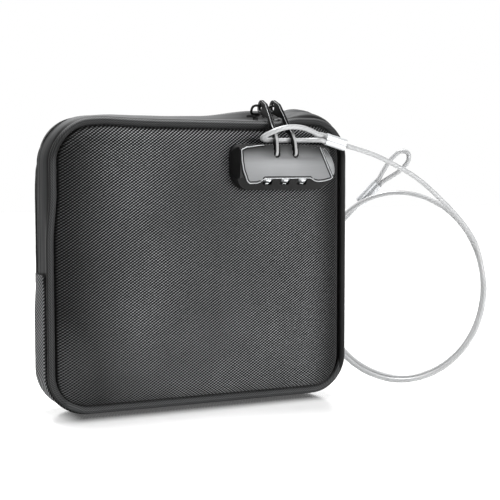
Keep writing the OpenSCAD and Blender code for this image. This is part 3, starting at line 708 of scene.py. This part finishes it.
def tube_rings(route, radius, sides):
    """Rings round a route, turned as little as possible from one to the next."""
    rings = []
    side = None
    for i, place in enumerate(route):
        ahead = route[min(i + 1, len(route) - 1)] - route[max(i - 1, 0)]
        ahead.normalize()
        if side is None:
            side = ahead.orthogonal().normalized()
        side = (side - ahead * side.dot(ahead)).normalized()
        other = ahead.cross(side)
        rings.append([
            place + radius * (math.cos(k * math.tau / sides) * side
                              + math.sin(k * math.tau / sides) * other)
            for k in range(sides)
        ])
    return rings


def tube(name, route, diameter, material, sides=20, **where):
    rings = tube_rings(route, diameter / 2, sides)
    widths = [k * math.pi * diameter / sides for k in range(sides + 1)]
    verts, faces, uvs = lofted(rings, False, running_lengths(route), widths)
    close_ends(faces, uvs, len(rings), sides)
    return new_piece(name, verts, faces, uvs, material, **where)


def make_tether():
    for node in ("near_ferrule", "far_ferrule"):
        dress_node(node, FERRULE_ALUMINIUM)
    for name, route, node in (("tether", tether_route, "tether_cable"),
                              ("tether_near_eye", near_route, "near_eye"),
                              ("tether_far_eye", far_route, "far_eye")):
        tube(name, route, CABLE_D, CABLE_COAT, body="pouch", slot="cable_coat",
                            replaced=[node])


make_tether()


# Padded panels

# Valleys in the padding: start and end (x, z), half width and depth
CREASES = [
    ((-80, 22), (-58, 47), 6, 0.5),
    ((-84, 160), (-64, 138), 5, 0.35),
    ((88, 128), (84, 84), 6, 0.5),
    ((76, 24), (56, 40), 6, 0.35),
    ((-30, 18), (34, 15), 5, 0.3),
    ((6, 168), (-28, 150), 6, 0.3),
]


def crease_depth(x, z):
    depth = 0
    for (ax, az), (bx, bz), width, most in CREASES:
        dx, dz = bx - ax, bz - az
        t = min(1, max(0, ((x - ax) * dx + (z - az) * dz) / (dx * dx + dz * dz)))
        away = math.hypot(x - ax - t * dx, z - az - t * dz)
        ends = math.sin(math.pi * (0.12 + 0.76 * t))
        depth += most * ends * math.exp(-(away / width) ** 2)
    return depth


def edge_gather(x, z, inset, seed):
    """Small puckers where the cloth is gathered round a corner."""
    u, v = abs(x) - (HALF_W - CORNER_R), abs(z - MIDDLE) - ((TOP - LOW) / 2 - CORNER_R)
    if u <= 0 or v <= 0:
        return 0
    angle = math.atan2(v, u)
    wave = math.sin(14 * angle + 1.7 * noise.noise((seed, angle * 2, 0)))
    corner = math.sin(2 * angle)
    return 0.22 * corner * wave * math.exp(-((inset - 7) / 5) ** 2)


def lock_dent(x, z):
    """Depth to which the lock's base presses the padding, round it and under it."""
    round_r, depth, painted_top_shade = 8, 1.5, 3.5
    cx, cz = (LOCK_LOW.x + LOCK_HIGH.x) / 2, (LOCK_LOW.z + LOCK_HIGH.z) / 2
    hx, hz = (LOCK_HIGH.x - LOCK_LOW.x) / 2 - round_r, (LOCK_HIGH.z - LOCK_LOW.z) / 2 - round_r
    dx, dz = max(0, abs(x - cx) - hx), max(0, abs(z - cz) - hz)
    away = math.hypot(dx, dz) - round_r
    return depth * math.exp(-max(0, away) / painted_top_shade)


def panel_depth(x, z, inset, crown, side):
    """How far the cloth stands from the mid-plane, inset from the panel's edge."""
    roll, roll_in = 0.4, 3.6
    depth = PIPING_Y + roll + (crown - roll) * (1 - math.exp(-inset / roll_in))
    dome = max(0, 1 - (x / DOME_HALF_W) ** 2) * max(0, 1 - ((z - DOME_MID) / DOME_HALF_H) ** 2)
    depth += DOME_RISE * dome * smooth01(6, 40, inset)
    depth -= crease_depth(x * -side, z) * smooth01(2, 12, inset)
    depth += edge_gather(x, z, inset, 3 + side)
    depth += 0.3 * noise.noise((x / 26, z / 26, 5 * side)) * smooth01(2, 10, inset)
    return depth - lock_dent(x, z) if side < 0 else depth


def front_shift(x, z):
    """How far the front panel's cloth moves left and down from its place."""
    corner = max(0, -x - HALF_W + CORNER_R) * max(0, LOW + CORNER_R - z)
    full = FOOT_FULL * (2 * corner / CORNER_R ** 2) ** 2
    return full + EDGE_SHY * smooth01(84, 97, x), full


def rounded_places(cx, cz, radius, straight_steps=36, corner_steps=20):
    """Places on a rounded rectangle about the origin, as many at any size. cx and cz are half
    the lengths of its straight sides."""
    made = []
    corners = [(cx, cz, 0), (-cx, cz, 90), (-cx, -cz, 180), (cx, -cz, 270)]
    for i, (x, z, angle) in enumerate(corners):
        for k in range(corner_steps):
            a = math.radians(angle + 90 * k / corner_steps)
            made.append((x + radius * math.cos(a), z + radius * math.sin(a)))
        a = math.radians(angle + 90)
        start = Vector((x + radius * math.cos(a), z + radius * math.sin(a)))
        nx, nz, _ = corners[(i + 1) % 4]
        end = Vector((nx + radius * math.cos(a), nz + radius * math.sin(a)))
        made += [(start + (end - start) * k / straight_steps).to_tuple()
                 for k in range(straight_steps)]
    return made


def inset_places(inset, least_r):
    """Places on the panel's outline, drawn in by inset. Its corners keep the radius least_r."""
    total = PANEL_IN + inset
    radius = max(CORNER_R - total, least_r)
    cx = max(HALF_W - total - radius, 0.5)
    cz = max((TOP - LOW) / 2 - total - radius, 0.5)
    return [(x, z + MIDDLE) for x, z in rounded_places(cx, cz, radius)]


def panel_rings(crown, side):
    """Rings from the back edge of the panel's side, over its rolled edge, to its middle."""
    face = [ROLLED[-1] + (INMOST - ROLLED[-1]) * (i + 1) / FACE_RINGS for i in range(FACE_RINGS)]
    rings = []
    for inset, fixed in [(0, y) for y in PANEL_SIDE_Y] + [(i, None) for i in (*ROLLED, *face)]:
        ring = []
        for x, z in inset_places(inset, LEAST_R + OUTER_MORE_R * (1 - inset / INMOST)):
            depth = fixed or panel_depth(x, z, inset, crown, side)
            x, z = settled(x, z, side)
            if side < 0:
                left, down = front_shift(x, z)
                x, z = x - left, z - down
            ring.append((x, side * depth, z))
        rings.append(ring)
    return rings


def capped(name, rings, material, **where):
    """A closed piece without UVs from rings, with a flat face on the first and the last."""
    size = len(rings[0])
    verts, faces, uvs = lofted(rings, False, [0] * len(rings), [0] * (size + 1))
    close_ends(faces, uvs, len(rings), size)
    return new_piece(name, verts, faces, None, material, **where)


def padded_panel(name, crown, side, **where):
    return capped(name, panel_rings(crown, side), PANEL_CLOTH, slot="woven_nylon", **where)


def lining(name, side, **where):
    """Cloth behind a panel."""
    rings = []
    for inset, depth in LINING_RINGS:
        places = [settled(x, z, side) for x, z in inset_places(inset, LEAST_R)]
        rings.append([(x, side * depth, z) for x, z in places])
    return capped(name, rings, LINING_CLOTH, slot="lining", **where)


def blend_at_fold(piece):
    """Bakes the piece's place into its mesh."""
    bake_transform(piece)


def piping_profile(place, out):
    """Round cord, with the flat flange by which its cover is sewn in."""
    r = PIPING_R * (1 + 0.03 * noise.noise((place[0] / 9, place[1] / 9, 0.5)))
    around = [math.radians(a) for a in range(-138, 208, 15)]
    cord = [(r * math.cos(a) - PIPING_R, PIPING_Y + r * math.sin(a)) for a in around]
    return cord + [(-FLANGE_IN, y) for y in reversed(FLANGE_Y)]


def tape_profile(rear):
    """Bowed tape with a raised band over the coil. The front one rises steeply behind the piping
    along the top, and the rear one humps between the coil and the seam. At the right corner the
    whole tape bulges."""
    def profile(place, out):
        swell = LEFT_SWELL + (REAR_SWELL - LEFT_SWELL) * smooth01(-20, 30, place[0])
        hump = swell * smooth01(0.35, 1, out[1]) if rear else 0
        bulge = RIGHT_BULGE * smooth01(58, 76, place[0]) * smooth01(0.1, 0.8, out[1])
        steep = BOW_POWER if rear else BOW_POWER + TOP_STEEPER * smooth01(0.4, 1, out[1])
        crown = TAPE_CROWN - SIDE_FLAT * smooth01(0.3, 1, -out[0])
        outer = []
        for i in range(TAPE_STEPS + 1):
            t = i / TAPE_STEPS
            d = SEAM_Y + (FOLD_GAP / 2 - SEAM_Y) * t
            o = TAPE_EDGE + (crown - TAPE_EDGE) * (1 - (1 - t) ** steep)
            o += hump * smooth01(2.5, 9, d) * (1 - smooth01(9, SEAM_Y, d))
            o += bulge * (1 - (d / SEAM_Y) ** 3)
            o += COIL_RISE * (1 - smooth01(2.4, 3.4, d)) * smooth01(0.1, 0.9, d)
            o += 0.12 * noise.noise((place[0] / 14, place[1] / 14, d / 6))
            outer.append((o, d))
        return outer + [(o - TAPE_T, d) for o, d in reversed(outer)]
    return profile


def gusset_profile(place, out):
    """Bowed strip of padded cloth, with a folded hem at its two upper ends."""
    hem = HEM_T * smooth01(FOLD - 7, FOLD - 5.5, place[1])
    outer = []
    for i in range(2 * HALF_STEPS + 1):
        d = SEAM_Y * (1 - i / HALF_STEPS)
        t = 1 - abs(d) / SEAM_Y
        bow = 1 - (1 - min(1, t * SEAM_Y / GUSSET_BOW)) ** BOW_POWER
        o = GUSSET_EDGE + (GUSSET_CROWN - GUSSET_EDGE) * bow
        if place[1] > LOW + 3:
            o += hem + 0.18 * noise.noise((place[0] / 12, place[1] / 12, d / 8))
        outer.append((o, d))
    return outer + [(o - GUSSET_T, d) for o, d in reversed(outer)]


def make_shell():
    front = padded_panel("padded_front", FRONT_CROWN, -1, body="pouch",
                         replaced=["front_panel"])
    rear = padded_panel("padded_rear", REAR_CROWN, 1,
                        replaced=["rear_panel_lower", "rear_panel_upper"])
    blend_at_fold(rear)
    lining("lining_front", -1, body="pouch", replaced=["front_lining"])
    rear_lining = lining("lining_rear", 1, replaced=["rear_lining_lower", "rear_lining_upper"])
    blend_at_fold(rear_lining)
    swept("piping_front", "ring", piping_profile, -1, PIPING_TWILL, body="pouch",
          slot="piping_tape", replaced=["front_piping"])
    rear_piping = swept("piping_rear", "ring", piping_profile, 1, PIPING_TWILL,
                        slot="piping_tape", replaced=["rear_piping_lower", "rear_piping_upper"])
    blend_at_fold(rear_piping)
    swept("gusset_strip", "lower", gusset_profile, 1, GUSSET_CLOTH, body="pouch",
          slot="woven_nylon", replaced=["lower_gusset"])
    swept("tape_front", "upper", tape_profile(False), -1, ZIP_SATIN, body="pouch",
          slot="zip_tape", replaced=["front_zip_tape"])
    swept("tape_rear", "rear_upper", tape_profile(True), 1, ZIP_SATIN, body="rear_flap",
          slot="zip_tape", replaced=["rear_zip_tape"])


make_shell()


# Zip, pulls and lock: the frame's own nodes with their finishes

WELD_WITHIN = 0.002


def round_edges(node, width, highlight_finish):
    """Welds the node's split corners and rounds its sharp edges. The last argument is the finish
    of the rounded edges, a lighter painted highlight, or None."""
    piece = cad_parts[node]
    weld = piece.modifiers.new("weld", "WELD")
    weld.merge_threshold = WELD_WITHIN * MM
    bevel = piece.modifiers.new("round", "BEVEL")
    bevel.width = width * MM
    bevel.segments = 2
    bevel.limit_method = "ANGLE"
    bevel.angle_limit = math.radians(38)
    bevel.use_clamp_overlap = True
    bevel.harden_normals = False
    if highlight_finish:
        piece.data.materials.append(highlight_finish)
        bevel.material = 1


def front_outlines(node, plain):
    """Runs of the sharp edges round the node's front face, as places in millimetres with the
    face's normal there. plain is a start and end across the node and a start up it, as parts of
    its size, between and above which no edge counts."""
    low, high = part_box(node)
    start, end, up = (low[i] + part * (high[i] - low[i]) for i, part in zip((0, 0, 2), plain))
    bm = bmesh.new()
    bm.from_mesh(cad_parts[node].data)
    bmesh.ops.remove_doubles(bm, verts=bm.verts, dist=WELD_WITHIN * MM)
    bm.verts.index_update()
    links = {}
    normals = {}
    for edge in bm.edges:
        if len(edge.link_faces) != 2 or any(start < v.co.x < end and v.co.z > up
                                            for v in edge.verts):
            continue
        front, back = sorted(edge.link_faces, key=lambda f: f.normal.y)
        if front.normal.y > -0.7 or front.normal.dot(back.normal) > 0.5:
            continue
        a, b = (v.index for v in edge.verts)
        for k, other in ((a, b), (b, a)):
            links.setdefault(k, []).append(other)
            normals.setdefault(k, front.normal.copy())
    places = [v.co / MM for v in bm.verts]
    bm.free()
    runs = []
    left = set(links)
    while left:
        here = min(sorted(left), key=lambda k: sum(o in left for o in links[k]))
        run = []
        while here is not None:
            left.discard(here)
            run.append((places[here], normals[here]))
            here = next((o for o in links[here] if o in left), None)
        if len(run) > 8:
            runs.append(run)
    return runs


def rim(node, plain, **where):
    """Painted highlight and shade: a bright wire on the front face's outline, a dark one inside
    it.
    """
    low, high = box_mm(node)
    centre = (low + high) / 2
    for i, run in enumerate(front_outlines(node, plain)):
        inner = []
        for k, (place, normal) in enumerate(run):
            ahead = run[min(k + 2, len(run) - 1)][0] - run[max(k - 2, 0)][0]
            inward = ahead.cross(normal).normalized()
            if inward.dot(centre - place) < 0:
                inward = -inward
            inner.append(place + RIM_IN * inward - 0.15 * normal)
        outer = [place + 0.1 * normal for place, normal in run]
        # A bright wire paints the edge's highlight, and a black one inside it the shade of a
        # groove.
        tube(node + "_highlight_wire_" + str(i), outer, HIGHLIGHT_WIRE_D, LOCK_EDGE_HIGHLIGHT, 10, **where)
        tube(node + "_shade_wire_" + str(i), inner, SHADE_WIRE_D, BASE_BLACK, 10, **where)


def make_hardware():
    for finish, nodes in (
        (COIL_BLACK, ("front_zip_coil", "rear_zip_coil")),
        (SLIDER_ENAMEL, ("slider_left", "slider_right")),
        (BLACK_ENAMEL, ("pull_left", "pull_right")),
        (BASE_BLACK, ("lock_base",)),
        (FACE_SATIN, ("lock_plate", "release_button")),
        (DIAL_SILVER, ("dial_left", "dial_middle", "dial_right")),
        (STEEL, ("dial_shaft", "detent_spring", "latch_bar", "backing_plate", "lock_screws")),
    ):
        for node in nodes:
            dress_node(node, finish)
    # Rounded edges; where a finish is given, it paints a highlight on them.
    for node, width, highlight_finish in (
        ("lock_plate", 0.3, LOCK_EDGE_HIGHLIGHT), ("release_button", 0.35, LOCK_EDGE_HIGHLIGHT),
        ("pull_left", 0.25, PULL_EDGE_HIGHLIGHT), ("pull_right", 0.25, PULL_EDGE_HIGHLIGHT),
        ("slider_left", 0.25, None), ("slider_right", 0.25, None),
    ):
        round_edges(node, width, highlight_finish)
    # Wires of painted highlight and painted groove shade round the lock's plate.
    rim("lock_plate", (0.25, 0.86, 0.5), body="pouch", slot="lock_face")


make_hardware()


# Floor, light and background

def white_stage():
    """Pale floor that keeps the object's shadow, and mirrors it faintly close to its foot."""
    foot_half_w, foot_half_d = 0.08, 0.018
    n = material_nodes("pale_floor")
    x, y, _, _ = n.axes("Object")
    beside = n.larger(n.math("SUBTRACT", n.math("ABSOLUTE", x), foot_half_w), 0.0)
    before = n.larger(n.math("SUBTRACT", n.math("ABSOLUTE", y), foot_half_d), 0.0)
    away = n.math("SQRT", n.linear(beside, beside, n.product(before, before)))
    near = n.ramp(away, -0.003, 0.02, 1, 0)
    bright = n.add("ShaderNodeLightPath", output="Is Camera Ray")
    pale = n.finish(Base_Color=grey(0.86), Roughness=0.16, Specular_IOR_Level=0.3,
                    Metallic=n.product(near, 0.9), Emission_Color=grey(1.0),
                    Emission_Strength=n.product(bright, n.linear(near, -0.56, 0.62)))
    size, height = 4000, -0.05
    floor = new_piece("floor", [(x * size, y * size, height) for x, y in
                                ((-1, -1), (1, -1), (1, 1), (-1, 1))], [(0, 1, 2, 3)], None, pale)


def area_light(name, place, target, size, power):
    light = bpy.data.lights.new(name, "AREA")
    light.shape = "RECTANGLE"
    light.size, light.size_y = size
    light.energy = power
    lamp = bpy.data.objects.new(name, light)
    bpy.context.scene.collection.objects.link(lamp)
    lamp.location = place
    aim = Vector(target) - Vector(place)
    lamp.rotation_euler = aim.to_track_quat("-Z", "Y").to_euler()


def world_light():
    """White to the camera. As light it is brightest near the horizon and dim overhead, and in
    mirrors it is white low behind the object."""
    world = bpy.data.worlds.new("studio")
    bpy.context.scene.world = world
    n = Nodes(world)
    _, y, z, _ = n.axes("Generated")
    ray = {kind: n.add("ShaderNodeLightPath", output="Is " + kind + " Ray")
           for kind in ("Camera", "Transmission", "Glossy")}
    sky = n.ramp(z, 0.05, 0.5, 0.42, 0.08, "LINEAR")
    low_behind = n.product(n.ramp(z, 0.35, 0.5, 1, 0, "LINEAR"),
                           n.ramp(y, 0.0, 0.2, 0, 1, "LINEAR"))
    mirrored = n.product(low_behind, ray["Glossy"])
    seen = n.larger(ray["Camera"], ray["Transmission"])
    back = n.tree.nodes["Background"]
    n.put(back, "Color", (1, 1, 1, 1))
    n.put(back, "Strength", n.larger(n.larger(sky, mirrored), seen))


white_stage()
world_light()
area_light("key", (0.34, -0.96, 0.3), (0.04, 0, 0.1), (0.5, 0.36), 6.5)
area_light("fill", (-1.2, -0.4, 0.4), (0, 0, 0.09), (0.6, 0.8), 1.6)
area_light("top", (-0.05, 0.3, 1.2), (0, 0, 0.1), (0.5, 0.5), 24)
bpy.context.scene.view_settings.view_transform = "Standard"
